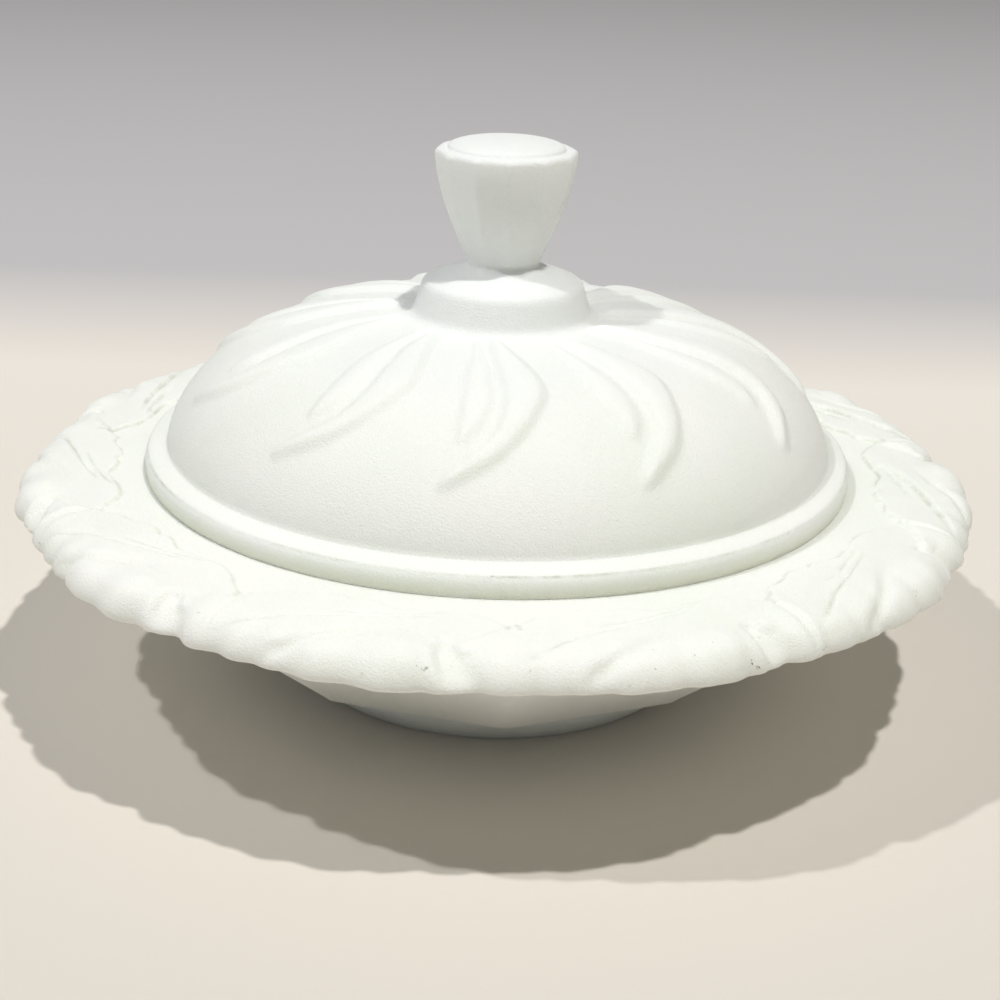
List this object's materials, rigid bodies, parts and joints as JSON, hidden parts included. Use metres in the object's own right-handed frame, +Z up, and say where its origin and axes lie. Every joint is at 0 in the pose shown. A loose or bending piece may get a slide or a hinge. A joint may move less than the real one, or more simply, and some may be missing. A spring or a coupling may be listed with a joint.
{
  "type": "covered dish",
  "caption": "Round footed dish in satin opal glass with a wide scalloped leaf brim, and a domed lid with a faceted knob that lifts off.",
  "frame": {"origin": "middle of the foot, on the plane that the dish rests on", "axes": "+Z up through the knob, which is the axis of both pieces; -Y is the front; the object is round, so X and Y are free"},
  "size_m": [0.2154, 0.2154, 0.1226],
  "materials": {
    "opal_glass": "satin, frosted opal"
  },
  "bodies": {
    "root": {"dish": "opal_glass"},
    "lid_body": {"lid": "opal_glass"}
  },
  "joints": [
    {"name": "lid_lift", "type": "slide", "parent": "root", "child": "lid_body", "axis": [0, 0, 1], "range_m": [0, 0.08]}
  ]
}
